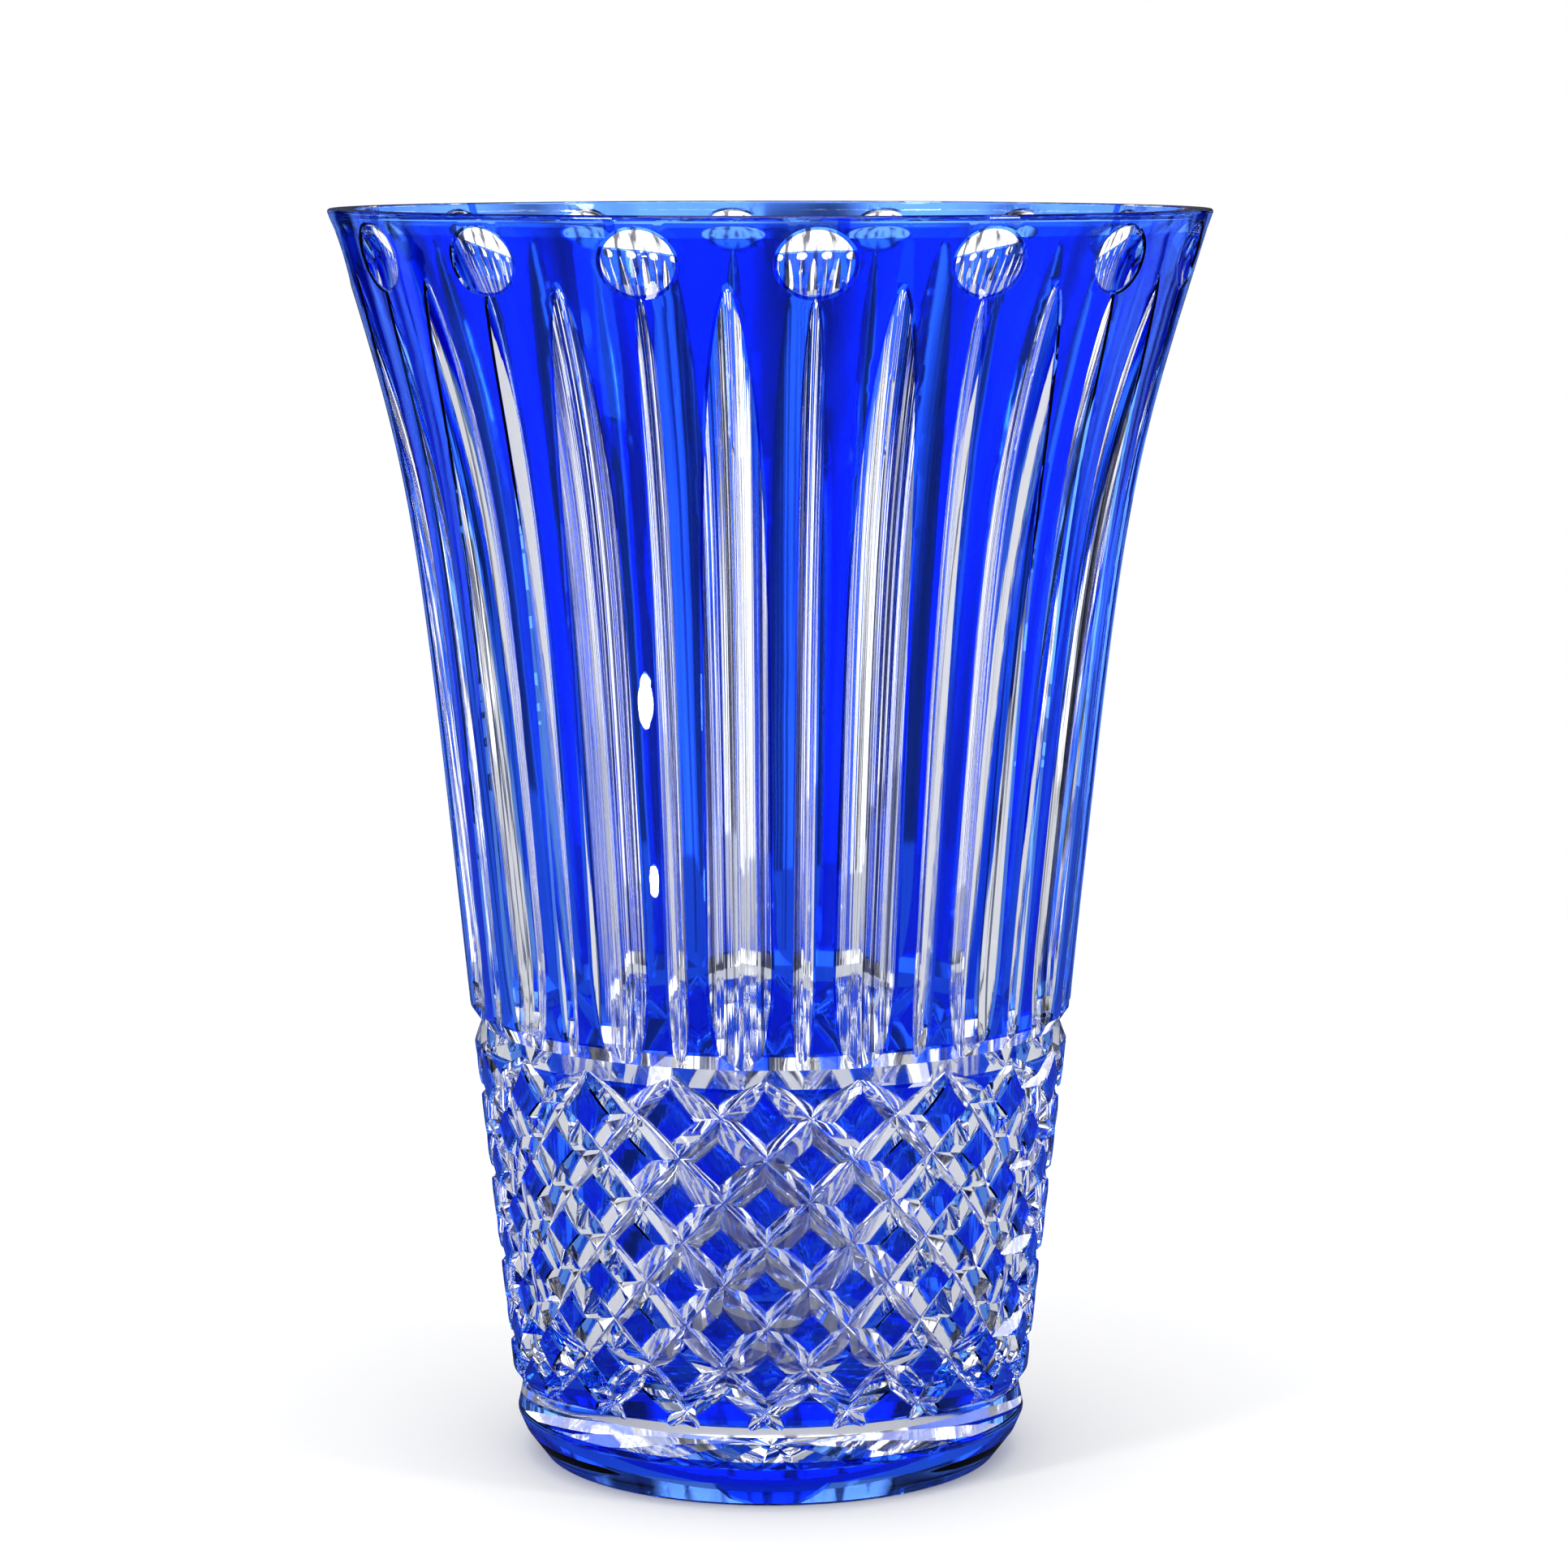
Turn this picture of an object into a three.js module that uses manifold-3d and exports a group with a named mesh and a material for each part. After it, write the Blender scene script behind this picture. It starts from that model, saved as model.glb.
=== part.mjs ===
// Cut crystal vase: a heavy clear crystal body, cased in a thin cobalt blue layer that the cuts go through.
// Millimetres, +Z up. The origin is the centre of the base, on the surface that the vase stands on.
// Angles are measured about Z from -Y towards +X.
import * as THREE from "three";
import { mergeVertices } from "three/addons/utils/BufferGeometryUtils.js";
import Module from "manifold-3d";

const wasm = await Module();
wasm.setup();

// ---------------------------------------------------------------- driving dimensions
const HEIGHT = 250;
const RIM_RADIUS = 87;
const RIM_CHAMFER = 0.5;
const CASING = 0.6; // thickness of the blue layer
const GAP = 0.3; // clearance between the blue layer and the crystal under it
const OUTSIDE = 12; // how far a cutter stands out of the wall
const OVERSHOOT = 1; // how far the shape of the inside stands out of the rim

// the flare above the girdle: one cubic curve whose two handles meet where its end tangents cross
const GIRDLE_Z = 92;
const GIRDLE_RADIUS = 60.4;
const FLARE_KNEE = new THREE.Vector2(70.8, 196);

// the foot and the straight wall that carries the diamonds
const BASE_RADIUS = 46;
const FOOT_EDGE = new THREE.Vector2(49.9, 5.2);
const FOOT_RADIUS = 51.3;
const FOOT_Z = 8.4;

// the inside
const MOUTH_RADIUS = 81.8;
const CAVITY_NECK = new THREE.Vector2(51.2, 92);
const CAVITY_KNEE = new THREE.Vector2(63.2, 196);
const CAVITY_HEEL = new THREE.Vector2(45.2, 36);
const FLOOR_CORNER = new THREE.Vector2(44, 20); // where the floor and the wall would meet without a round
const FLOOR_RADIUS = 30;

// ring grooves: the deepest point and the two edges
const GIRDLE_GROOVE = { radius: 57.9, z: 88.4, top: 92, bottom: 84.2 };
const FOOT_GROOVE = { radius: 50.1, z: 14.6, top: 17.6, bottom: 8.7 };

// Mitre cuts up the flare, broad ones between narrow ones, with a round lens cut over each narrow one.
// A cut keeps its depth from the height thin to the height full, and ends at its tip. Its two sides slope
// outwards by slope for each millimetre of depth. The powers rise and round shape the point at its tip.
const FLUTES = 16;
const BROAD = { depth: 3.8, slope: 1.88, thin: 108, full: 163, tip: 238, runOut: 28, rise: 2.5, round: 0.6 };
const NARROW = { depth: 2.2, slope: 1.05, thin: 104, full: 180, tip: 237, runOut: 24, rise: 6, round: 0.8 };
const RUN_OUT_SHARE = 0.8; // share of the depth that a cut loses over its runOut, towards the girdle
const RUN_OUT_POWER = 1.9;
const LENS = { z: 241.9, radius: 13.5, depth: 2, stretch: 1.26, tilt: THREE.MathUtils.degToRad(16.7) };
const LENS_REACH = 0.56; // radians from the middle of the lens cutter to its edge, which is outside the glass

// crossed mitre cuts that leave diamonds
const DIAMONDS = 20;
const DIAMOND_ROW = 8.45; // from one row of crossings to the next
const FIRST_CROSSING_Z = 86.75;
const DIAMOND_ROWS = 9;
const MITRE = { depth: 4.2, slope: 1.22, middle: 51.5, half: 36.5, power: 8 };

// star cut under the base
const STAR = { rays: 16, depth: 2.2, middle: 20, half: 22, slope: 1.73 };

// fineness
const FLARE_AROUND = 2 * FLUTES; // an edge down the middle of every flute, and a flat facet between
const WALL_AROUND = 2 * DIAMONDS; // a flat facet behind every diamond
const CAVITY_AROUND = 40;
const FLARE_STEPS = 5;
const HEEL_STEPS = 4;
const TIP_SHARES = [0.45, 0.75, 0.93, 1]; // where the sections of a flute lie between full and tip
const LENS_AROUND = 12;
const LENS_STEPS = 2;
const STAR_STEPS = 3;
const HALVINGS = 30;
const WELD = 1e-4; // points nearer to each other than this are one point

const TURN = 2 * Math.PI;

// ---------------------------------------------------------------- helpers
const at = (angle, radius, z) => new THREE.Vector3(radius * Math.sin(angle), -radius * Math.cos(angle), z);

// A closed geometry as a solid, with its faces turned outwards.
function solid(geometry) {
  const bare = geometry.clone();
  for (const name of Object.keys(bare.attributes)) if (name !== "position") bare.deleteAttribute(name);
  const merged = mergeVertices(bare, WELD);
  const flat = merged.index.array;
  const vertProperties = merged.attributes.position.array;
  const kept = [];
  for (let i = 0; i < flat.length; i += 3) {
    const [a, b, c] = flat.slice(i, i + 3);
    if (a !== b && b !== c && c !== a) kept.push(a, b, c);
  }
  const make = (triangles) =>
    new wasm.Manifold(new wasm.Mesh({ numProp: 3, vertProperties, triVerts: new Uint32Array(triangles) }));
  const made = make(kept);
  return made.volume() > 0 ? made : make(kept.reverse());
}

function geometryOf(manifold) {
  const mesh = manifold.getMesh();
  return new THREE.BufferGeometry()
    .setAttribute("position", new THREE.BufferAttribute(mesh.vertProperties, 3))
    .setIndex(new THREE.BufferAttribute(mesh.triVerts, 1))
    .toNonIndexed();
}

// A solid of revolution about Z, from [radius, z] points that end on the axis or close on themselves.
function turned(points, around, firstEdge = 0) {
  const profile = points.map((p) => (p.isVector2 ? p : new THREE.Vector2(...p)));
  return solid(new THREE.LatheGeometry(profile, around, firstEdge).rotateX(Math.PI / 2));
}

// A closed skin over rings of points, each with as many points as the first, with flat ends.
function loft(rings) {
  const points = rings.flat();
  const count = rings[0].length;
  const index = [];
  for (let i = 0; i + 1 < rings.length; i++)
    for (let j = 0; j < count; j++) {
      const [a, b] = [i * count + j, i * count + ((j + 1) % count)];
      index.push(a, b, b + count, a, b + count, a + count);
    }
  const last = (rings.length - 1) * count;
  for (let j = 1; j + 1 < count; j++) index.push(0, j + 1, j, last, last + j, last + j + 1);
  return solid(new THREE.BufferGeometry().setFromPoints(points).setIndex(index));
}

const counted = (count, make) => Array.from({ length: count }, (_, i) => make(i));
const steps = (from, to, count) => counted(count + 1, (i) => from + ((to - from) * i) / count);
const turns = (count, phase = 0) => counted(count, (i) => ((i + phase) * TURN) / count);
const joined = (solids) => solids.reduce((all, one) => all.add(one));
const turnedAbout = (geometry, angle) => solid(geometry.clone().rotateZ(angle));

// ---------------------------------------------------------------- the blown blank
const flare = new THREE.CubicBezierCurve(
  new THREE.Vector2(GIRDLE_RADIUS, GIRDLE_Z),
  FLARE_KNEE,
  FLARE_KNEE,
  new THREE.Vector2(RIM_RADIUS, HEIGHT),
);
const cavityFlare = new THREE.CubicBezierCurve(
  CAVITY_NECK,
  CAVITY_KNEE,
  CAVITY_KNEE,
  new THREE.Vector2(MOUTH_RADIUS, HEIGHT),
);

// Radius of the uncut outside at a height above the foot.
function outsideRadius(z) {
  const up = (z - FOOT_Z) / (GIRDLE_Z - FOOT_Z);
  if (up <= 1) return FOOT_RADIUS + up * (GIRDLE_RADIUS - FOOT_RADIUS);
  let [low, high] = [0, 1];
  for (let i = 0; i < HALVINGS; i++) {
    const middle = (low + high) / 2;
    if (flare.getPoint(middle).y < z) low = middle;
    else high = middle;
  }
  return flare.getPoint(low).x;
}

// The uncut outside from the girdle groove to the rim, drawn in by an inset.
function flareBlank(inset) {
  const wall = flare.getPoints(FLARE_STEPS).map((p) => new THREE.Vector2(p.x - inset, p.y));
  wall[wall.length - 1].y = HEIGHT - RIM_CHAMFER;
  const start = [[0, GIRDLE_GROOVE.z], [outsideRadius(GIRDLE_GROOVE.z) - inset, GIRDLE_GROOVE.z]];
  return turned([...start, ...wall, [RIM_RADIUS - inset - RIM_CHAMFER, HEIGHT], [0, HEIGHT]], FLARE_AROUND);
}

// The uncut wall of the diamonds. Each of its flat facets lies behind one diamond.
function wallBlank() {
  const end = (z) => [outsideRadius(z), z];
  const [low, high] = [FOOT_GROOVE.z, GIRDLE_GROOVE.z];
  return turned([[0, low], end(low), end(high), [0, high]], WALL_AROUND, Math.PI / WALL_AROUND);
}

// The uncut foot below its groove, drawn in by an inset.
function footBlank(inset) {
  const profile = [
    [0, inset],
    [BASE_RADIUS - inset, inset],
    [FOOT_EDGE.x - inset, FOOT_EDGE.y],
    [FOOT_RADIUS - inset, FOOT_Z],
    [outsideRadius(FOOT_GROOVE.z) - inset, FOOT_GROOVE.z],
    [0, FOOT_GROOVE.z],
  ];
  return turned(profile, WALL_AROUND, Math.PI / WALL_AROUND);
}

function cavity() {
  const floorEdge = new THREE.Vector2(FLOOR_RADIUS, FLOOR_CORNER.y);
  const heel = new THREE.QuadraticBezierCurve(floorEdge, FLOOR_CORNER, CAVITY_HEEL);
  const wall = cavityFlare.getPoints(FLARE_STEPS);
  const mouth = wall.pop();
  const lip = [
    [mouth.x, HEIGHT - RIM_CHAMFER],
    [mouth.x + RIM_CHAMFER, HEIGHT],
    [mouth.x + RIM_CHAMFER, HEIGHT + OVERSHOOT],
    [0, HEIGHT + OVERSHOOT],
  ];
  return turned([[0, FLOOR_CORNER.y], ...heel.getPoints(HEEL_STEPS), ...wall, ...lip], CAVITY_AROUND);
}

// ---------------------------------------------------------------- the cutting wheels
// A V section across a radius: the bottom of the cut, and two corners outside the glass.
function vee(angle, radius, z, slope) {
  const across = OUTSIDE * slope;
  const corner = (side) => {
    const p = at(angle, radius + OUTSIDE, z);
    return p.add(new THREE.Vector3(Math.cos(angle), Math.sin(angle), 0).multiplyScalar(side * across));
  };
  return [at(angle, radius, z), corner(1), corner(-1)];
}

// How deep a flute is at a height: it thins to a point in the flare and runs out under the girdle.
function fluteDepth(cut, z) {
  if (z > cut.full) return cut.depth * (1 - ((z - cut.full) / (cut.tip - cut.full)) ** cut.rise) ** cut.round;
  if (z > cut.thin) return cut.depth;
  return cut.depth * (1 - RUN_OUT_SHARE * ((cut.thin - z) / cut.runOut) ** RUN_OUT_POWER);
}

function flutes(cut, phase) {
  const point = TIP_SHARES.map((share) => cut.full + share * (cut.tip - cut.full));
  const heights = [GIRDLE_GROOVE.z, cut.thin, cut.full, ...point];
  const section = (angle, z) => vee(angle, outsideRadius(z) - fluteDepth(cut, z), z, cut.slope);
  return turns(FLUTES, phase).map((angle) => loft(heights.map((z) => section(angle, z))));
}

// Round lens cuts: a shallow cap that stands on the flare, square to it.
function lenses() {
  const onCap = (a) => new THREE.Vector2(LENS.radius * Math.sin(a), -LENS.radius * Math.cos(a));
  const cap = steps(0, LENS_REACH, LENS_STEPS).map(onCap);
  const shape = new THREE.LatheGeometry([...cap, new THREE.Vector2(0, 0)], LENS_AROUND)
    .scale(LENS.stretch, 1, 1)
    .translate(0, LENS.radius - LENS.depth, 0)
    .rotateX(Math.PI) // its middle now points along +Y, into the wall
    .rotateX(LENS.tilt)
    .translate(0, -outsideRadius(LENS.z), LENS.z);
  return turns(FLUTES, 0.5).map((angle) => turnedAbout(shape, angle));
}

function ringGroove(groove, around, firstEdge = 0) {
  const edge = (z) => {
    const depth = outsideRadius(z) - groove.radius;
    return [groove.radius + depth + OUTSIDE, groove.z + (z - groove.z) * (1 + OUTSIDE / depth)];
  };
  const deepest = [groove.radius, groove.z];
  return turned([deepest, edge(groove.bottom), edge(groove.top), deepest], around, firstEdge);
}

// One family of slanting mitre cuts; side is 1 or -1.
function mitres(side) {
  const depth = (z) => MITRE.depth * (1 - Math.abs((z - MITRE.middle) / MITRE.half) ** MITRE.power);
  const lowest = FIRST_CROSSING_Z - (DIAMOND_ROWS - 1) * DIAMOND_ROW;
  const heights = [FOOT_GROOVE.z, ...steps(lowest, FIRST_CROSSING_Z, DIAMOND_ROWS - 1)];
  const turnOf = (z) => (((z - FIRST_CROSSING_Z) / (2 * DIAMOND_ROW)) * TURN) / DIAMONDS;
  const section = (start, z) => vee(start + side * turnOf(z), outsideRadius(z) - depth(z), z, MITRE.slope);
  return turns(DIAMONDS).map((start) => loft(heights.map((z) => section(start, z))));
}

// The star: rays cut upwards into the base, deepest half way out.
function star() {
  const section = (angle, out) => {
    const depth = STAR.depth * (1 - ((out - STAR.middle) / STAR.half) ** 2);
    const wide = (depth + OUTSIDE) * STAR.slope;
    const across = new THREE.Vector3(Math.cos(angle), Math.sin(angle), 0).multiplyScalar(wide);
    const under = at(angle, out, -OUTSIDE);
    return [at(angle, out, depth), under.clone().add(across), under.clone().sub(across)];
  };
  const places = steps(0, STAR.middle + STAR.half, STAR_STEPS);
  return turns(STAR.rays, 0.5).map((angle) => loft(places.map((out) => section(angle, out))));
}

// ---------------------------------------------------------------- the pieces
const flareCuts = joined([
  ...flutes(BROAD, 0),
  ...flutes(NARROW, 0.5),
  ...lenses(),
  ringGroove(GIRDLE_GROOVE, FLARE_AROUND),
]);
const wallCuts = joined([...mitres(1), ...mitres(-1)]);
const footCuts = joined([ringGroove(FOOT_GROOVE, WALL_AROUND, Math.PI / WALL_AROUND), ...star()]);

function crystalBody() {
  const blank = joined([flareBlank(CASING + GAP), wallBlank(), footBlank(CASING + GAP)]);
  return blank.subtract(cavity()).subtract(flareCuts).subtract(wallCuts).subtract(footCuts);
}

const casing = (blank, cuts) => blank(0).subtract(blank(CASING)).subtract(cuts);

const glassOf = (color, opacity) =>
  new THREE.MeshStandardMaterial({ color, opacity, transparent: true, roughness: 0.03, metalness: 0 });
const crystal = glassOf(0xeaf1f7, 0.35);
const cobalt = glassOf(0x0a1ee0, 0.7);

const vase = new THREE.Group();
function addPiece(name, manifold, material) {
  const mesh = new THREE.Mesh(geometryOf(manifold), material);
  mesh.name = name;
  vase.add(mesh);
}

addPiece("crystal_body", crystalBody(), crystal);
addPiece("casing_collar", casing(flareBlank, flareCuts), cobalt);
addPiece("casing_foot", casing(footBlank, footCuts), cobalt);

export default vase;
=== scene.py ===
"""Cut crystal vase: clear lead crystal, cased in a thin layer of cobalt blue glass that is cut through.

The glass is turned, cased and cut here as the real vase is: a blank, then cutting wheels. Lengths are in
millimetres until a finished piece is put into the scene, which is in metres.
Angles are measured about Z from -Y towards +X.
"""
import math
import random

import bpy
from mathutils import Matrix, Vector


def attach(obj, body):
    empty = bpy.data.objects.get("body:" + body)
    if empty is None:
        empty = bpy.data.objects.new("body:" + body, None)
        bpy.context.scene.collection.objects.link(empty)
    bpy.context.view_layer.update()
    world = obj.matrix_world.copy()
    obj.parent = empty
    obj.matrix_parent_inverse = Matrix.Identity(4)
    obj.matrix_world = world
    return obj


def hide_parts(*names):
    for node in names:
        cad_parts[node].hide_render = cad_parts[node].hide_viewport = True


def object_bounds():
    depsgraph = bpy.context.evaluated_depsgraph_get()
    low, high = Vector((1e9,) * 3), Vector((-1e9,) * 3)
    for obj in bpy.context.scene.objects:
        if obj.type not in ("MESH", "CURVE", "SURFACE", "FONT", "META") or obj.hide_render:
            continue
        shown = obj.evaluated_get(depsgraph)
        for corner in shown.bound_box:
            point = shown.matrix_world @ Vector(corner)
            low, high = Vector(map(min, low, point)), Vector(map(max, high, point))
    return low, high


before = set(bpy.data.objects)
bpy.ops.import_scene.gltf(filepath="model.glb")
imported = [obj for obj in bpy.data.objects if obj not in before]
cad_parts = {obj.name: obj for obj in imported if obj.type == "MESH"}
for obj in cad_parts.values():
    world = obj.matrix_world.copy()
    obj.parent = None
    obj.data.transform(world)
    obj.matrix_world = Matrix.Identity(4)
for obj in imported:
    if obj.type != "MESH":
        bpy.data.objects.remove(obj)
cad_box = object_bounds()

MM = 0.001
TURN = 2 * math.pi

# ---------------------------------------------------------------- sizes from the frame
HEIGHT = cad_box[1][2] / MM
RIM_RADIUS = cad_box[1][0] / MM

# ---------------------------------------------------------------- the blank
RIM_ROUND = 0.6
RIM_CLEAR = 0.5  # no point of the wall is nearer to the rim's round than this
CASING = 0.38  # thickness of the blue layer
SEAM = 0.02  # between the blue layer and the crystal, which are fused on the real vase

GIRDLE_Z = 92
GIRDLE_RADIUS = 60.4
FLARE_KNEE = (70.8, 196)

BASE_RADIUS = 46
FOOT_EDGE = (49.9, 5.2)
FOOT_RADIUS = 51.3
FOOT_Z = 8.4

MOUTH_RADIUS = 81.8
CAVITY_NECK = (51.2, 92)
CAVITY_KNEE = (63.2, 196)
CAVITY_HEEL = (45.2, 36)
FLOOR_CORNER = (44, 20)  # where the floor and the wall would meet without a round
FLOOR_RADIUS = 30

# ---------------------------------------------------------------- the cuts
# A flute keeps its depth from the height thin to the height full, and ends at its tip: rise and round are the
# powers that shape its point there. Each side of a V cut slopes outwards by slope for each millimetre of
# depth. stray is how far hand work puts a cut off its place, in degrees about Z, and deeper off its depth.
GIRDLE_GROOVE = {"radius": 57.9, "z": 88.4, "top": 92, "bottom": 84.2}
FOOT_GROOVE = {"radius": 50.1, "z": 14.6, "top": 17.6, "bottom": 8.7}

FLUTES = 16
BROAD = {
    "depth": 3.8, "slope": 1.88,
    "thin": 108, "full": 163, "tip": 238, "run_out": 28,
    "rise": 2.5, "round": 0.6,
}
NARROW = {
    "depth": 2.2, "slope": 1.05,
    "thin": 104, "full": 180, "tip": 237, "run_out": 24,
    "rise": 6, "round": 0.8,
}
FLUTE_HAND = {"stray": 0.12, "deeper": 0.06}
RUN_OUT_SHARE = 0.8  # share of its depth that a flute loses over its run_out, towards the girdle
RUN_OUT_POWER = 1.9
LENS = {"z": 241.9, "radius": 13.5, "depth": 2.0, "stretch": 1.26, "tilt": math.radians(16.7)}
LENS_REACH = 0.8  # radians from the middle of the cutter's cap to its edge, which is outside the glass
LENS_START = 0.02
LENS_STRAY = 0.15

DIAMONDS = 20
DIAMOND_ROW = 8.45  # from one row of crossings to the next
FIRST_CROSSING_Z = 86.75
MITRE = {"depth": 4.2, "slope": 1.22, "middle": 51.5, "half": 36.5, "power": 8}
MITRE_HAND = {"stray": 0.22, "deeper": 0.12}

STAR = {"rays": 16, "depth": 2.2, "middle": 20, "half": 22, "slope": 1.73}

BOTTOM_ROUND = 0.35  # the round that a wheel's edge leaves along the bottom of a cut, as a depth
BOTTOM_LOW = BOTTOM_ROUND * 0.5  # how far that round fills the point of the V
SHOULDER = 0.12  # how far above its lowest line it is half way to its edge, as a share of BOTTOM_ROUND
OUTSIDE = 8  # how far a cutter stands out of the glass
OVERSHOOT = 1  # how far the shape of the inside stands out of the rim
HAND = random.Random(16)  # the small differences between one cut and the next

# ---------------------------------------------------------------- fineness
ON_AXIS = 1e-6
AROUND = 240
FLARE_STEPS = 40
HEEL_STEPS = 10
CORNER_STEPS = 4
FLUTE_STEPS = 24
TIP_STEPS = 26
LENS_STEPS = 14
LENS_AROUND = 40
MITRE_STEPS = 72
STAR_STEPS = 24
STAR_COLUMNS = 8  # columns of points for each ray
HALVINGS = 30
STAGE_AROUND = 64


def steps(start, end, count):
    return [start + (end - start) * i / count for i in range(count + 1)]


def bezier(a, b, c, d, t):
    s = 1 - t
    shares = (s**3, 3 * s * s * t, 3 * s * t * t, t**3)
    return tuple(sum(share * p for share, p in zip(shares, axis)) for axis in zip(a, b, c, d))


def at(angle, radius, z):
    """The point at an angle about Z, a distance from it and a height."""
    return (radius * math.sin(angle), -radius * math.cos(angle), z)


# ---------------------------------------------------------------- mesh helpers
def mesh_object(name, points, faces):
    mesh = bpy.data.meshes.new(name)
    mesh.from_pydata(points, [], faces)
    piece = bpy.data.objects.new(name, mesh)
    bpy.context.scene.collection.objects.link(piece)
    return piece


def turned(name, profile):
    """A solid of revolution from (radius, z) points that start and end on the axis, from the bottom up."""
    points = []
    rings = []
    for radius, z in profile:
        if radius < ON_AXIS:
            rings.append([len(points)])
            points.append((0, 0, z))
        else:
            rings.append(list(range(len(points), len(points) + AROUND)))
            points += [at(TURN * i / AROUND, radius, z) for i in range(AROUND)]
    faces = []
    for low, high in zip(rings, rings[1:]):
        for i in range(AROUND):
            j = (i + 1) % AROUND
            if len(low) == 1:
                faces.append((low[0], high[j], high[i]))
            elif len(high) == 1:
                faces.append((low[i], low[j], high[0]))
            else:
                faces.append((low[i], low[j], high[j], high[i]))
    return mesh_object(name, points, faces)


def loft(name, rings):
    """A closed skin over rings of points, each with as many points as the first, with flat ends."""
    count = len(rings[0])
    points = [p for ring in rings for p in ring]
    faces = [tuple(reversed(range(count)))]
    for i in range(len(rings) - 1):
        for j in range(count):
            a, b = i * count + j, i * count + (j + 1) % count
            faces.append((a, b, b + count, a + count))
    last = (len(rings) - 1) * count
    faces.append(tuple(range(last, last + count)))
    return mesh_object(name, points, faces)


def combined(piece, cutters, operation):
    """The piece with a boolean against all of the cutters, which are left in place."""
    group = bpy.data.collections.new("wheel")
    for cutter in cutters:
        group.objects.link(cutter)
    change = piece.modifiers.new("cut", "BOOLEAN")
    change.operation = operation
    change.solver = "MANIFOLD"
    change.operand_type = "COLLECTION"
    change.collection = group
    shape = piece.evaluated_get(bpy.context.evaluated_depsgraph_get())
    mesh = bpy.data.meshes.new_from_object(shape)
    piece.modifiers.clear()
    old, piece.data = piece.data, mesh
    bpy.data.meshes.remove(old)
    bpy.data.collections.remove(group)
    return piece


def discard(pieces):
    for piece in pieces:
        mesh = piece.data
        bpy.data.objects.remove(piece)
        bpy.data.meshes.remove(mesh)


# ---------------------------------------------------------------- the outline
def flare_point(t):
    return bezier((GIRDLE_RADIUS, GIRDLE_Z), FLARE_KNEE, FLARE_KNEE, (RIM_RADIUS, HEIGHT), t)


def outside_radius(z):
    if z <= GIRDLE_Z:
        return FOOT_RADIUS + (z - FOOT_Z) / (GIRDLE_Z - FOOT_Z) * (GIRDLE_RADIUS - FOOT_RADIUS)
    low, high = 0.0, 1.0
    for _ in range(HALVINGS):
        middle = (low + high) / 2
        if flare_point(middle)[1] < z:
            low = middle
        else:
            high = middle
    return flare_point(low)[0]


def rim_corner(inset):
    """The rounded outer edge of the rim, from its side to its top."""
    side, low = RIM_RADIUS - inset - RIM_ROUND, HEIGHT - RIM_ROUND
    quarter = steps(0, TURN / 4, CORNER_STEPS)
    return [(side + RIM_ROUND * math.cos(a), low + RIM_ROUND * math.sin(a)) for a in quarter]


def below_rim(points):
    """The points that are clear of the rim's round."""
    return [(radius, z) for radius, z in points if z < HEIGHT - RIM_ROUND - RIM_CLEAR]


def blank(name, inset):
    """The uncut vase without its inside, drawn in by an inset."""
    wall = below_rim(flare_point(t) for t in steps(0, 1, FLARE_STEPS))
    wall = [(radius - inset, z) for radius, z in wall]
    foot = [
        (0, inset),
        (BASE_RADIUS - inset, inset),
        (FOOT_EDGE[0] - inset, FOOT_EDGE[1]),
        (FOOT_RADIUS - inset, FOOT_Z),
        (outside_radius(FOOT_GROOVE["z"]) - inset, FOOT_GROOVE["z"]),
        (outside_radius(GIRDLE_GROOVE["z"]) - inset, GIRDLE_GROOVE["z"]),
    ]
    return turned(name, foot + wall + rim_corner(inset) + [(0, HEIGHT)])


def cavity():
    heel = ((FLOOR_RADIUS, FLOOR_CORNER[1]), FLOOR_CORNER, FLOOR_CORNER, CAVITY_HEEL)
    floor_round = [bezier(*heel, t) for t in steps(0, 1, HEEL_STEPS)]
    knee = (CAVITY_NECK, CAVITY_KNEE, CAVITY_KNEE, (MOUTH_RADIUS, HEIGHT))
    wall = below_rim(bezier(*knee, t) for t in steps(0, 1, FLARE_STEPS))
    low = HEIGHT - RIM_ROUND
    quarter = steps(0, TURN / 4, CORNER_STEPS)
    lip = [(MOUTH_RADIUS + RIM_ROUND * (1 - math.cos(a)), low + RIM_ROUND * math.sin(a)) for a in quarter]
    top = [(MOUTH_RADIUS + RIM_ROUND, HEIGHT + OVERSHOOT), (0, HEIGHT + OVERSHOOT)]
    return turned("cavity", [(0, FLOOR_CORNER[1])] + floor_round + wall + lip + top)


# ---------------------------------------------------------------- the cutting wheels
def stray(amount):
    return HAND.uniform(-amount, amount)


def vee(angle, radius, z, slope):
    """A V section across a radius: corners outside the glass, and a small round along the cut's bottom."""
    tangent = Vector((math.cos(angle), math.sin(angle), 0))
    edge = BOTTOM_ROUND * slope
    shoulder = BOTTOM_LOW + SHOULDER * BOTTOM_ROUND
    half = [(OUTSIDE, OUTSIDE * slope), (BOTTOM_ROUND, edge), (shoulder, edge / 2)]
    outline = half + [(BOTTOM_LOW, 0)] + [(out, -side) for out, side in reversed(half)]
    return [tuple(Vector(at(angle, radius + out, z)) + tangent * side) for out, side in outline]


def flute_depth(cut, z):
    """How deep a flute is at a height."""
    if z > cut["full"]:
        share = min(1, (z - cut["full"]) / (cut["tip"] - cut["full"]))
        return cut["depth"] * (1 - share ** cut["rise"]) ** cut["round"]
    if z > cut["thin"]:
        return cut["depth"]
    run = (cut["thin"] - z) / cut["run_out"]
    return cut["depth"] * (1 - RUN_OUT_SHARE * run ** RUN_OUT_POWER)


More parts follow.
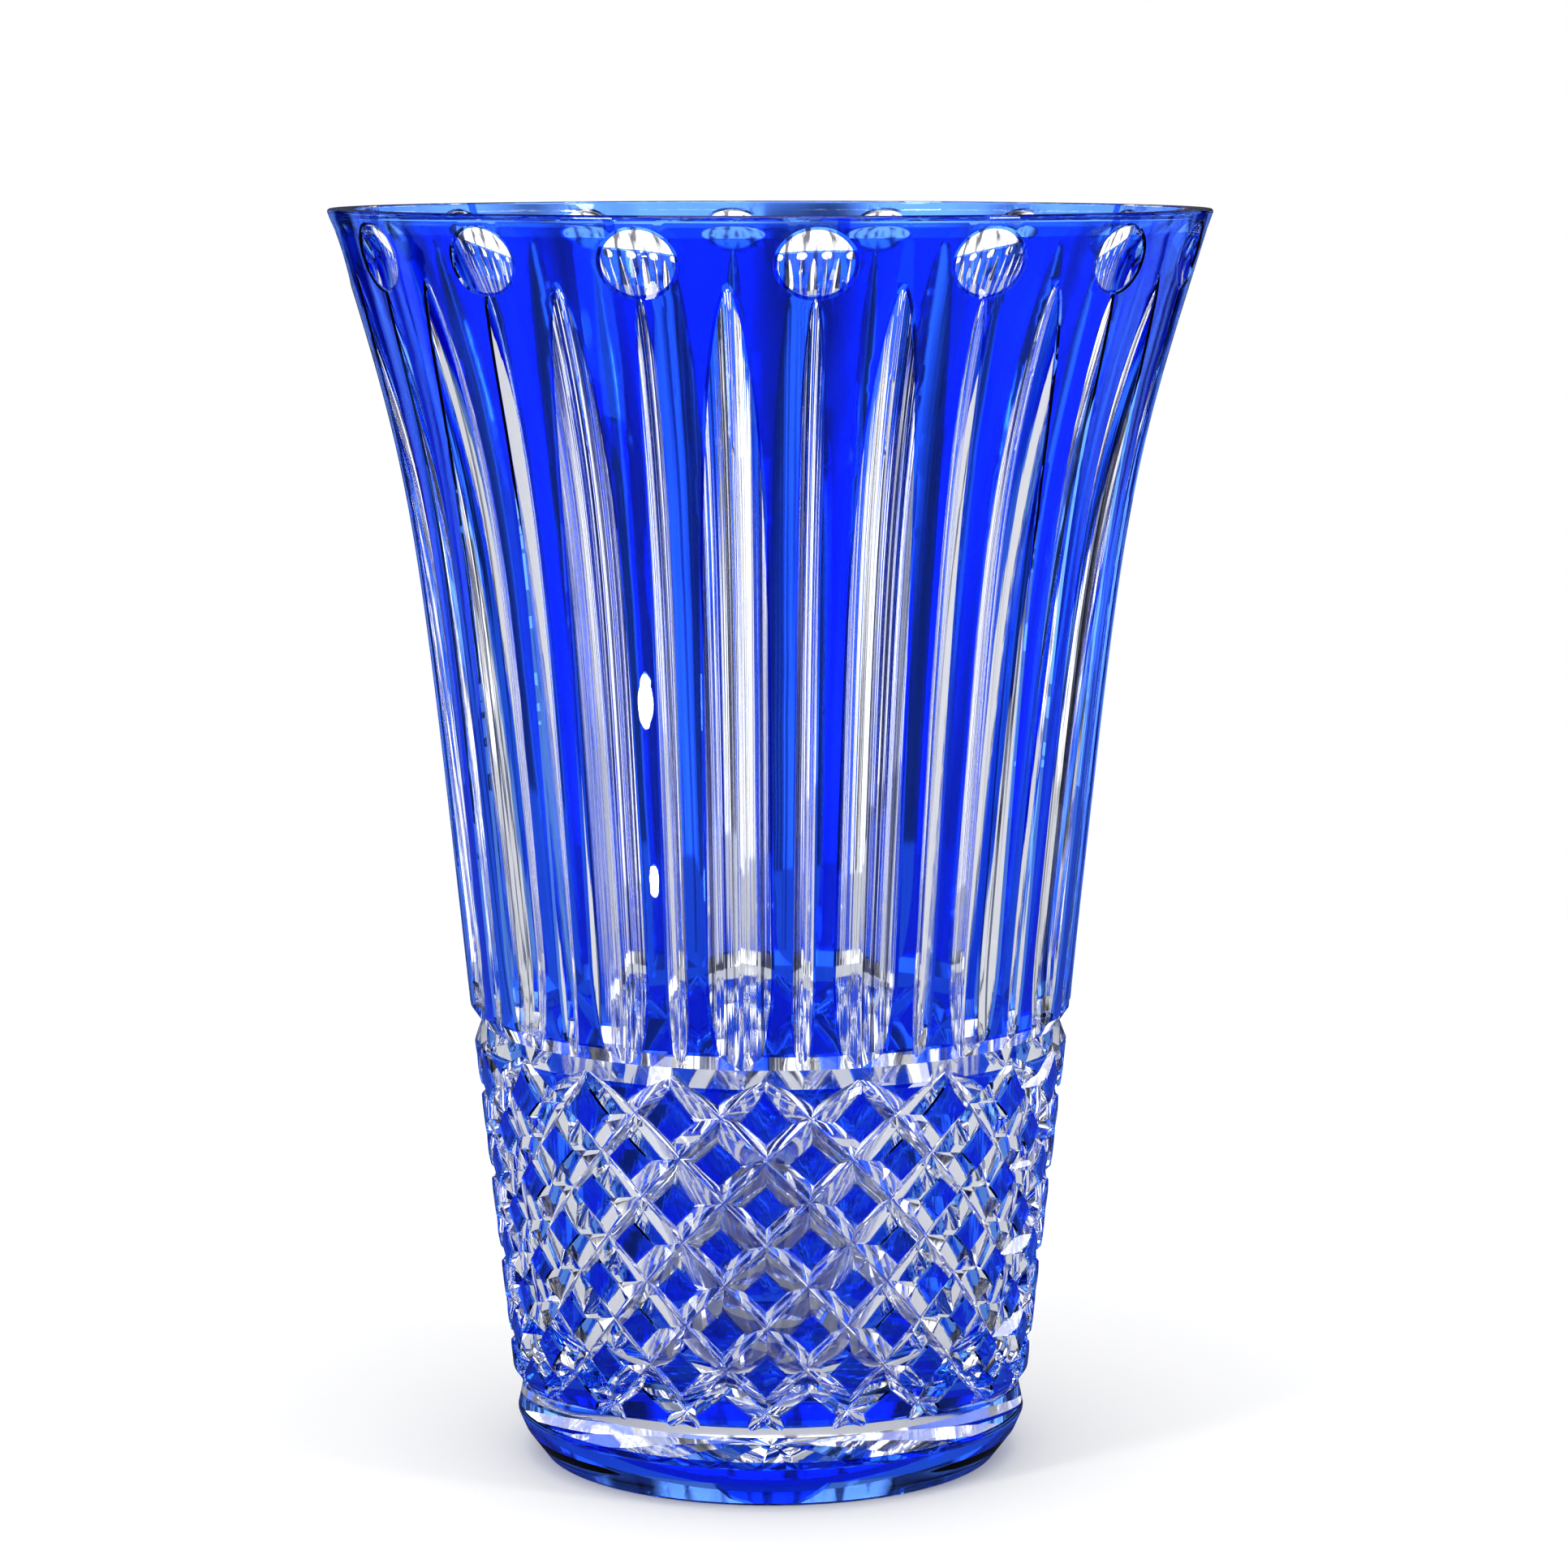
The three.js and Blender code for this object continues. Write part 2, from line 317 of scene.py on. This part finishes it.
def flutes(cut, phase):
    run = cut["tip"] - cut["full"]
    point = [cut["full"] + run * math.sin(TURN / 4 * t) for t in steps(0, 1, TIP_STEPS)]
    heights = steps(GIRDLE_GROOVE["z"], cut["full"], FLUTE_STEPS) + point[1:]
    made = []
    for i in range(FLUTES):
        angle = (i + phase) * TURN / FLUTES + math.radians(stray(FLUTE_HAND["stray"]))
        deeper = stray(FLUTE_HAND["deeper"])
        bottoms = [outside_radius(z) - flute_depth(cut, z) - deeper for z in heights]
        rings = [vee(angle, radius, z, cut["slope"]) for radius, z in zip(bottoms, heights)]
        made.append(loft("flute", rings))
    return made


def lens_ring(a):
    """A ring of the cap at an angle from its middle: distances sideways, outwards and up from its centre."""
    ring = []
    for b in steps(0, TURN, LENS_AROUND)[:-1]:
        side = LENS["radius"] * math.sin(a) * math.cos(b) * LENS["stretch"]
        up = LENS["radius"] * math.sin(a) * math.sin(b)
        off_middle = -LENS["radius"] * math.cos(a) + LENS["radius"]
        tilted_up = up * math.cos(LENS["tilt"]) - off_middle * math.sin(LENS["tilt"])
        tilted_out = off_middle * math.cos(LENS["tilt"]) + up * math.sin(LENS["tilt"])
        ring.append((side, tilted_out - LENS["radius"], tilted_up))
    return ring


def turned_about_z(angle, x, y, z):
    return (x * math.cos(angle) - y * math.sin(angle), x * math.sin(angle) + y * math.cos(angle), z)


def lenses():
    """Shallow round caps that stand on the flare, square to it."""
    centre = Vector(at(0, outside_radius(LENS["z"]) - LENS["depth"] + LENS["radius"], LENS["z"]))
    cap = [lens_ring(a) for a in steps(LENS_START, LENS_REACH, LENS_STEPS)]
    cap = [[(side, centre.y - out, centre.z + up) for side, out, up in ring] for ring in cap]
    made = []
    for i in range(FLUTES):
        angle = (i + 0.5) * TURN / FLUTES + math.radians(stray(LENS_STRAY))
        made.append(loft("lens", [[turned_about_z(angle, *point) for point in ring] for ring in cap]))
    return made


def ring_groove(groove):
    def edge(z):
        depth = outside_radius(z) - groove["radius"]
        return (groove["radius"] + depth + OUTSIDE, groove["z"] + (z - groove["z"]) * (1 + OUTSIDE / depth))

    low, high = edge(groove["bottom"]), edge(groove["top"])
    points = []
    for i in range(AROUND):
        angle = TURN * i / AROUND
        points += [at(angle, groove["radius"], groove["z"]), at(angle, *low), at(angle, *high)]
    faces = []
    for i in range(AROUND):
        for j in range(3):
            a, b = 3 * i + j, 3 * i + (j + 1) % 3
            c, d = (b + 3) % (3 * AROUND), (a + 3) % (3 * AROUND)
            faces.append((a, d, c, b))
    return mesh_object("ring_groove", points, faces)


def mitres(side):
    """One family of slanting mitre cuts; side is 1 or -1."""
    heights = steps(FOOT_GROOVE["z"], FIRST_CROSSING_Z, MITRE_STEPS)
    made = []
    for i in range(DIAMONDS):
        start = i * TURN / DIAMONDS + math.radians(stray(MITRE_HAND["stray"]))
        deeper = stray(MITRE_HAND["deeper"])
        rings = []
        for z in heights:
            off_middle = abs(z - MITRE["middle"]) / MITRE["half"]
            depth = deeper + MITRE["depth"] * (1 - off_middle ** MITRE["power"])
            angle = start + side * (z - FIRST_CROSSING_Z) / (2 * DIAMOND_ROW) * TURN / DIAMONDS
            rings.append(vee(angle, outside_radius(z) - depth, z, MITRE["slope"]))
        made.append(loft("mitre", rings))
    return made


def star():
    """The rays cut upwards into the base, as one solid: each is deepest part of the way out."""
    columns = STAR["rays"] * STAR_COLUMNS
    half = STAR_COLUMNS // 2
    turns = [TURN * (i / columns + 0.5 / STAR["rays"]) for i in range(columns)]
    off_rays = [TURN / columns * abs((i + half) % STAR_COLUMNS - half) for i in range(columns)]
    radii = steps(0, STAR["middle"] + STAR["half"], STAR_STEPS)
    depths = [STAR["depth"] * (1 - ((radius - STAR["middle"]) / STAR["half"]) ** 2) for radius in radii]
    points = [(0, 0, depths[0])]
    for radius, depth in zip(radii[1:], depths[1:]):
        for turn, off_ray in zip(turns, off_rays):
            points.append(at(turn, radius, depth - radius * math.sin(off_ray) / STAR["slope"]))
    points += [at(turn, radii[-1], -OUTSIDE) for turn in turns]
    points.append((0, 0, -OUTSIDE))
    faces = []
    for i in range(columns):
        j = (i + 1) % columns
        faces.append((0, 1 + i, 1 + j))
        for k in range(STAR_STEPS):
            a = 1 + k * columns
            faces.append((a + i, a + columns + i, a + columns + j, a + j))
        last = 1 + STAR_STEPS * columns
        faces.append((last + i, last + columns, last + j))
    return [mesh_object("star", points, faces)]


flare_cuts = flutes(BROAD, 0) + flutes(NARROW, 0.5) + lenses() + [ring_groove(GIRDLE_GROOVE)]
wall_cuts = mitres(1) + mitres(-1)
foot_cuts = [ring_groove(FOOT_GROOVE)] + star()
all_cuts = flare_cuts + wall_cuts + foot_cuts

# ---------------------------------------------------------------- materials
CRYSTAL_IOR = 1.55
CLEAR = (0.98, 0.99, 1.0)
COBALT = (0.09, 0.26, 0.94)
COBALT_THICK = (0.063, 0.195, 0.9118)
COBALT_THIN = (0.117, 0.312, 0.9682)
SEAM_TINT = (0.14, 0.34, 0.97)
# painted shade: the colour of the thin dark streaks painted up the flutes
PAINTED_STREAK_SHADE = (0.04, 0.05, 0.1)
INSIDE_ROUGHNESS = 0.04

# How uneven each surface is: a scale per metre along X, Y and Z, and a height in metres. With lengthwise the
# first number of the scale is per radian about Z instead, so that lines run up the wall.
FACET_POLISH = {"scale": (90, 90, 90), "height": 0.00001}
FLUTE_POLISH = {"scale": (100, 0, 2), "height": 0.00005, "lengthwise": True}
BLOWN_INSIDE = {"scale": (45, 45, 20), "height": 0.00006}
CASING_WAVES = {"scale": (45, 45, 110), "height": 0.00003}
# painted shade: the scale of the dark streaks painted up the flutes, per radian about Z and per metre up
PAINTED_STREAK_SCALE = (70, 0, 2)
THICKNESS_SCALE = (14, 14, 14)


def new_material(name):
    material = bpy.data.materials.new(name)
    material.use_nodes = True
    nodes = material.node_tree.nodes
    nodes.clear()
    return material, nodes, material.node_tree.links


def around_and_up(nodes, links, place):
    """The angle about Z in radians, a nought, and the height in metres."""
    split = nodes.new("ShaderNodeSeparateXYZ")
    links.new(place, split.inputs["Vector"])
    angle = nodes.new("ShaderNodeMath")
    angle.operation = "ARCTAN2"
    links.new(split.outputs["X"], angle.inputs[0])
    links.new(split.outputs["Y"], angle.inputs[1])
    joined = nodes.new("ShaderNodeCombineXYZ")
    links.new(angle.outputs["Value"], joined.inputs["X"])
    links.new(split.outputs["Z"], joined.inputs["Z"])
    return joined.outputs["Vector"]


def scaled_noise(nodes, links, vector, scale, detail):
    """Noise on a vector whose three parts are scaled on their own."""
    finer = nodes.new("ShaderNodeVectorMath")
    finer.operation = "MULTIPLY"
    finer.inputs[1].default_value = scale
    links.new(vector, finer.inputs[0])
    noise = nodes.new("ShaderNodeTexNoise")
    noise.inputs["Scale"].default_value = 1
    noise.inputs["Detail"].default_value = detail
    links.new(finer.outputs["Vector"], noise.inputs["Vector"])
    return noise


def ramp(nodes, links, value, stops):
    """Colours along a value, from (position, colour) stops."""
    node = nodes.new("ShaderNodeValToRGB")
    elements = node.color_ramp.elements
    for element, (position, color) in zip(elements, (stops[0], stops[-1])):
        element.position = position
        element.color = (*color, 1)
    for position, color in stops[1:-1]:
        elements.new(position).color = (*color, 1)
    links.new(value, node.inputs["Fac"])
    return node.outputs["Color"]


def waviness(nodes, links, vector, scale, height):
    """A slow unevenness of a hand-polished surface, for a shader's normal."""
    noise = scaled_noise(nodes, links, vector, scale, detail=2)
    noise.inputs["Roughness"].default_value = 0.4
    bump = nodes.new("ShaderNodeBump")
    bump.inputs["Strength"].default_value = 1
    bump.inputs["Distance"].default_value = height
    links.new(noise.outputs["Fac"], bump.inputs["Height"])
    return bump


def glass(name, color, roughness, scale, height, lengthwise=False):
    """Clear or coloured glass, with its shader and the place on the surface that its unevenness goes by."""
    material, nodes, links = new_material(name)
    shader = nodes.new("ShaderNodeBsdfPrincipled")
    shader.inputs["Base Color"].default_value = (*color, 1)
    shader.inputs["Roughness"].default_value = roughness
    shader.inputs["IOR"].default_value = CRYSTAL_IOR
    shader.inputs["Transmission Weight"].default_value = 1
    vector = nodes.new("ShaderNodeTexCoord").outputs["Object"]
    if lengthwise:
        vector = around_and_up(nodes, links, vector)
    bump = waviness(nodes, links, vector, scale, height)
    links.new(bump.outputs["Normal"], shader.inputs["Normal"])
    output = nodes.new("ShaderNodeOutputMaterial")
    links.new(shader.outputs["BSDF"], output.inputs["Surface"])
    return material, shader, vector


def crystal_materials():
    """Facets, the flutes with thin dark streaks painted up them as painted shade, the inside as it was blown,
    and the fused seam.
    """
    facets = glass("clear_crystal", CLEAR, 0.0, **FACET_POLISH)[0]
    flute = painted_streak_shade(*glass("clear_crystal_flutes", CLEAR, 0.0, **FLUTE_POLISH))
    inside = glass("clear_crystal_inside", CLEAR, INSIDE_ROUGHNESS, **BLOWN_INSIDE)[0]
    return [facets, flute, inside, seam_material()]


FACETS, FLUTE_SIDES, INSIDE, FUSED = range(4)  # the order of those materials


def painted_streak_shade(material, shader, vector):
    """Thin dark lines painted up the flutes: painted shade in the glass's colour, standing in for dark
    surroundings seen through them.
    """
    nodes, links = material.node_tree.nodes, material.node_tree.links
    noise = scaled_noise(nodes, links, vector, PAINTED_STREAK_SCALE, detail=1)
    # painted shade: the flute glass turns to the dark streak colour where the noise is low
    color = ramp(nodes, links, noise.outputs["Fac"], ((0.38, PAINTED_STREAK_SHADE), (0.43, CLEAR)))
    links.new(color, shader.inputs["Base Color"])
    return material


def seam_material():
    """The crystal where the blue layer is fused to it: what it mirrors inside has crossed the blue."""
    material, nodes, links = new_material("fused_seam")
    shader = nodes.new("ShaderNodeBsdfGlass")
    shader.inputs["Color"].default_value = (*SEAM_TINT, 1)
    shader.inputs["Roughness"].default_value = 0
    shader.inputs["IOR"].default_value = CRYSTAL_IOR
    output = nodes.new("ShaderNodeOutputMaterial")
    links.new(shader.outputs["BSDF"], output.inputs["Surface"])
    return material


def casing_material():
    """The blue layer, deeper in colour where it was blown a little thicker."""
    material, shader, vector = glass("cobalt_casing", COBALT, 0.0, **CASING_WAVES)
    nodes, links = material.node_tree.nodes, material.node_tree.links
    noise = scaled_noise(nodes, links, vector, THICKNESS_SCALE, detail=3)
    color = ramp(nodes, links, noise.outputs["Fac"], ((0.3, COBALT_THICK), (0.7, COBALT_THIN)))
    links.new(color, shader.inputs["Base Color"])
    return material


# ---------------------------------------------------------------- the pieces
UNDERSIDE_TOLERANCE = 0.03
OUTSIDE_TOLERANCE = 0.05
LEVEL = 0.99  # up or down part of the normal of a level face
UNCUT_OUT = 0.8  # a face of the uncut outside looks out at least this much,
UNCUT_ASIDE = 0.09  # and aside less than this
LOOKS_IN = -0.1
LOOKS_UP = 0.5
DEEP_INSIDE = 8  # a face that looks up and is further in than this is the floor of the inside
BELOW_LENSES = 8  # from the middle of the lens cuts down to the height where only flutes are cut
SLIVER = 0.8  # a crumb of the blue layer that is lower than this is ground off
SHARP = math.radians(14)


def blank_radius(z):
    """Radius of the uncut outside at any height."""
    if z < FOOT_EDGE[1]:
        return BASE_RADIUS + (FOOT_EDGE[0] - BASE_RADIUS) * z / FOOT_EDGE[1]
    if z < FOOT_Z:
        share = (z - FOOT_EDGE[1]) / (FOOT_Z - FOOT_EDGE[1])
        return FOOT_EDGE[0] + (FOOT_RADIUS - FOOT_EDGE[0]) * share
    return outside_radius(z)


def straight_out(face):
    """How far a face looks straight out from the axis, as a cosine."""
    x, y, _ = face.center
    return (face.normal.x * x + face.normal.y * y) / max(1, math.hypot(x, y))


def turned_aside(face):
    """How far a face is turned sideways from straight out, as a sine."""
    x, y, _ = face.center
    return abs(face.normal.x * y - face.normal.y * x) / max(1, math.hypot(x, y))


def under_casing(face):
    """Whether a face of the crystal is one that the blue layer lies on."""
    x, y, z = face.center
    radius = math.hypot(x, y)
    inset = CASING + SEAM
    if face.normal.z < -LEVEL and abs(z - inset) < UNDERSIDE_TOLERANCE:
        return True
    if radius < 1 or abs(radius - (blank_radius(z) - inset)) > OUTSIDE_TOLERANCE:
        return False
    return straight_out(face) > UNCUT_OUT and turned_aside(face) < UNCUT_ASIDE


def crystal_surface(face):
    """Which of the crystal's materials a face has."""
    x, y, z = face.center
    deep_in = blank_radius(z) - math.hypot(x, y) > DEEP_INSIDE
    if under_casing(face):
        return FUSED
    if straight_out(face) < LOOKS_IN or (face.normal.z > LOOKS_UP and z < GIRDLE_Z and deep_in):
        return INSIDE
    return FLUTE_SIDES if GIRDLE_GROOVE["top"] < z < LENS["z"] - BELOW_LENSES else FACETS


def finish_mesh(piece):
    """Turns a finished piece into metres, smooth but for its sharp edges."""
    mesh = piece.data
    for vertex in mesh.vertices:
        vertex.co *= MM
    mesh.validate()
    mesh.shade_smooth()
    mesh.set_sharp_from_angle(angle=SHARP)


def crystal_body():
    body = blank("crystal_body_glass", CASING + SEAM)
    inside = cavity()
    combined(body, [inside], "DIFFERENCE")
    discard([inside])
    combined(body, flare_cuts, "DIFFERENCE")
    combined(body, wall_cuts, "DIFFERENCE")
    combined(body, foot_cuts, "DIFFERENCE")
    body.data.materials.clear()
    for material in crystal_materials():
        body.data.materials.append(material)
    for face in body.data.polygons:
        face.material_index = crystal_surface(face)
    finish_mesh(body)
    return body


def parts_of(mesh):
    """The vertices of each separate part of a mesh."""
    group = list(range(len(mesh.vertices)))

    def root(i):
        while group[i] != i:
            group[i] = group[group[i]]
            i = group[i]
        return i

    for edge in mesh.edges:
        a, b = edge.vertices
        group[root(a)] = root(b)
    found = {}
    for i in range(len(group)):
        found.setdefault(root(i), []).append(i)
    return list(found.values())


def casing_name(heights):
    """The piece that a part of the blue layer belongs to, by the heights of its points."""
    if max(heights) > GIRDLE_GROOVE["top"] + DIAMOND_ROW:
        return "casing_collar_glass"
    if min(heights) < FOOT_EDGE[1]:
        return "casing_foot_glass"
    middle = (max(heights) + min(heights)) / 2
    row = round((FIRST_CROSSING_Z - middle) / DIAMOND_ROW)
    return f"casing_diamonds_row_{row + 1}"


def casing_pieces():
    """The blue layer after the cutting: the collar, the foot, and the islands of each row of diamonds."""
    shell = blank("casing", 0)
    core = blank("core", CASING)
    combined(shell, [core], "DIFFERENCE")
    discard([core])
    for cuts in (flare_cuts, wall_cuts, foot_cuts):
        combined(shell, cuts, "DIFFERENCE")
    mesh = shell.data
    name_of = {}
    for part in parts_of(mesh):
        heights = [mesh.vertices[i].co.z for i in part]
        name = casing_name(heights) if max(heights) - min(heights) > SLIVER else None
        for i in part:
            name_of[i] = name
    material = casing_material()
    pieces = []
    for name in sorted({n for n in name_of.values() if n}):
        kept = [i for i in range(len(mesh.vertices)) if name_of[i] == name]
        index = {old: new for new, old in enumerate(kept)}
        own = [face for face in mesh.polygons if name_of[face.vertices[0]] == name]
        faces = [tuple(index[v] for v in face.vertices) for face in own]
        piece = mesh_object(name, [tuple(mesh.vertices[i].co) for i in kept], faces)
        piece.data.materials.append(material)
        finish_mesh(piece)
        pieces.append(piece)
    discard([shell])
    return pieces


body = crystal_body()
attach(body, "root")
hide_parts("crystal_body")
for piece in casing_pieces():
    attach(piece, "root")
    if piece.name == "casing_collar_glass":
        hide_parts("casing_collar")
    if piece.name == "casing_foot_glass":
        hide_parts("casing_foot")
discard(all_cuts)

# ---------------------------------------------------------------- floor, light and camera
FACING = math.radians(-17.2)  # the direction from the vase to the camera


def viewed(across, towards, up):
    """A point by its place from the camera's side: to the right, towards the camera, and up, in metres."""
    x = across * math.cos(FACING) + towards * math.sin(FACING)
    y = across * math.sin(FACING) - towards * math.cos(FACING)
    return Vector((x, y, up))


STAGE_RADIUS = 0.7  # in metres
FLOOR_DROP = 0.0002  # below the base, in metres
FLOOR_COLOR = (0.93, 0.93, 0.93, 1)
FLOOR_THROUGH_GLASS = (0.52, 0.53, 0.56, 1)
FLOOR_MIRRORED = (0.02, 0.02, 0.03, 1)


def mixed_shader(nodes, links, share, first, second):
    mix = nodes.new("ShaderNodeMixShader")
    links.new(share, mix.inputs["Fac"])
    links.new(first, mix.inputs[1])
    links.new(second, mix.inputs[2])
    return mix.outputs["Shader"]


def floor():
    """A pale disc, a little dimmer through the glass, and dark in what the glass mirrors."""
    edge = [at(TURN * i / STAGE_AROUND, STAGE_RADIUS, 0) for i in range(STAGE_AROUND)]
    piece = mesh_object("floor", edge, [tuple(range(STAGE_AROUND))])
    material, nodes, links = new_material("pale_floor")
    shader = nodes.new("ShaderNodeBsdfPrincipled")
    shader.inputs["Base Color"].default_value = FLOOR_COLOR
    shader.inputs["Roughness"].default_value = 0.6
    through = nodes.new("ShaderNodeBsdfDiffuse")
    through.inputs["Color"].default_value = FLOOR_THROUGH_GLASS
    mirrored = nodes.new("ShaderNodeEmission")
    mirrored.inputs["Color"].default_value = FLOOR_MIRRORED
    path = nodes.new("ShaderNodeLightPath").outputs
    pale = mixed_shader(nodes, links, path["Is Transmission Ray"], shader.outputs[0], through.outputs[0])
    whole = mixed_shader(nodes, links, path["Is Reflection Ray"], pale, mirrored.outputs[0])
    output = nodes.new("ShaderNodeOutputMaterial")
    links.new(whole, output.inputs["Surface"])
    piece.data.materials.append(material)
    piece.location.z = -FLOOR_DROP


def area_light(name, place, target, width, height, power):
    lamp = bpy.data.lights.new(name, "AREA")
    lamp.shape = "ELLIPSE"
    lamp.size = width
    lamp.size_y = height
    lamp.energy = power
    item = bpy.data.objects.new(name, lamp)
    bpy.context.scene.collection.objects.link(item)
    item.location = place
    item.rotation_euler = (Vector(target) - place).to_track_quat("-Z", "Y").to_euler()


GATHERED = 2.15  # how bright the studio is through the glass
MIRRORED = 0.06  # how bright it is in the gloss on the glass
GAPS = (0.07, 0.2, 0.33, 0.5, 0.632, 0.782, 0.89)  # middles of the dark gaps, as shares of a turn
GAP_WIDTHS = (0.008, 0.014, 0.02)  # half widths, taken in turn
GAP_EDGE = 0.008
GAP_LEVEL = 0.03
# brightness by the sine of the angle above the horizon
RISE = ((0.0, 1.0), (0.34, 1.0), (0.42, 0.06), (0.7, 0.06), (0.8, 0.7), (1.0, 0.9))
FRINGE_SCALE = (16, 16, 1.2)
FRINGE = ((0.4, (0.12, 0.12, 0.14)), (0.52, (1.0, 1.0, 1.0)))


def grey(level):
    return (level, level, level)


def around_share(nodes, links, split):
    """How far round a direction is, from 0 to 1."""
    around = nodes.new("ShaderNodeMath")
    around.operation = "ARCTAN2"
    links.new(split.outputs["Y"], around.inputs[0])
    links.new(split.outputs["X"], around.inputs[1])
    share = nodes.new("ShaderNodeMath")
    share.operation = "MULTIPLY_ADD"
    share.inputs[1].default_value = 1 / TURN
    share.inputs[2].default_value = 0.5
    links.new(around.outputs[0], share.inputs[0])
    return share.outputs[0]


def panel_stops():
    stops = [(0.0, grey(1.0))]
    for i, gap in enumerate(GAPS):
        half = GAP_WIDTHS[i % len(GAP_WIDTHS)]
        outer = half + GAP_EDGE
        for offset, level in ((-outer, 1.0), (-half, GAP_LEVEL), (half, GAP_LEVEL), (outer, 1.0)):
            stops.append((gap + offset, grey(level)))
    return stops + [(1.0, grey(1.0))]


def multiplied(nodes, links, first, second):
    product = nodes.new("ShaderNodeMix")
    product.data_type = "RGBA"
    product.blend_type = "MULTIPLY"
    product.inputs["Factor"].default_value = 1
    links.new(first, product.inputs["A"])
    links.new(second, product.inputs["B"])
    return product.outputs["Result"]


def studio_pattern(nodes, links):
    """A ring of bright panels with dark gaps, darker part of the way up, with fine upright streaks."""
    place = nodes.new("ShaderNodeTexCoord").outputs["Generated"]
    split = nodes.new("ShaderNodeSeparateXYZ")
    links.new(place, split.inputs["Vector"])
    panels = ramp(nodes, links, around_share(nodes, links, split), panel_stops())
    rise = ramp(nodes, links, split.outputs["Z"], [(position, grey(level)) for position, level in RISE])
    fringe = scaled_noise(nodes, links, place, FRINGE_SCALE, detail=2)
    streaks = ramp(nodes, links, fringe.outputs["Fac"], FRINGE)
    return multiplied(nodes, links, multiplied(nodes, links, panels, rise), streaks)


def studio():
    """White to the eye and to the floor. The glass gathers the pattern, and mirrors it dimly."""
    world = bpy.data.worlds.new("studio")
    bpy.context.scene.world = world
    world.use_nodes = True
    nodes, links = world.node_tree.nodes, world.node_tree.links
    nodes.clear()
    path = nodes.new("ShaderNodeLightPath").outputs
    strength = nodes.new("ShaderNodeMath")
    strength.operation = "MULTIPLY_ADD"
    strength.inputs[1].default_value = MIRRORED - GATHERED
    strength.inputs[2].default_value = GATHERED
    links.new(path["Is Reflection Ray"], strength.inputs[0])
    gathered = nodes.new("ShaderNodeBackground")
    links.new(strength.outputs[0], gathered.inputs["Strength"])
    links.new(studio_pattern(nodes, links), gathered.inputs["Color"])
    seen = nodes.new("ShaderNodeBackground")
    seen.inputs["Color"].default_value = (1, 1, 1, 1)
    plain = nodes.new("ShaderNodeMath")
    plain.operation = "MAXIMUM"
    links.new(path["Is Camera Ray"], plain.inputs[0])
    links.new(path["Is Diffuse Ray"], plain.inputs[1])
    whole = mixed_shader(nodes, links, plain.outputs[0], gathered.outputs[0], seen.outputs[0])
    output = nodes.new("ShaderNodeOutputWorld")
    links.new(whole, output.inputs["Surface"])


CAMERA_PLACE = (0.0027, 0.955, 0.2667)
CAMERA_DOWN = 7.83  # in degrees
FOCAL_LENGTH = 110.5
SENSOR = 36


def camera():
    data = bpy.data.cameras.new("camera")
    data.lens = FOCAL_LENGTH
    data.sensor_width = SENSOR
    data.clip_start = 0.05
    item = bpy.data.objects.new("camera", data)
    bpy.context.scene.collection.objects.link(item)
    item.location = viewed(*CAMERA_PLACE)
    item.rotation_euler = (math.radians(90 - CAMERA_DOWN), 0, FACING)
    bpy.context.scene.camera = item


# name, place as viewed, height that it points at, width, height and power
LIGHTS = (
    ("overhead", (0, 0.1, 1.7), 0.1, 1.6, 1.6, 8),
    ("left_box", (-0.9, 0.9, 0.5), 0.12, 0.25, 0.7, 6),
    ("upper_glint", (-0.16, 0.21, 0.09), 0.19, 0.022, 0.009, 0.05),
    ("lower_glint", (-0.16, 0.21, 0.052), 0.14, 0.014, 0.006, 0.022),
    ("right_box", (1.1, 0.6, 0.7), 0.12, 0.2, 0.6, 4),
)

floor()
studio()
for light_name, light_place, aimed_at, *size_and_power in LIGHTS:
    area_light(light_name, viewed(*light_place), (0, 0, aimed_at), *size_and_power)
camera()

scene = bpy.context.scene
scene.view_settings.view_transform = "Standard"
scene.cycles.max_bounces = 32
scene.cycles.transmission_bounces = 32
scene.cycles.glossy_bounces = 16
scene.cycles.transparent_max_bounces = 16
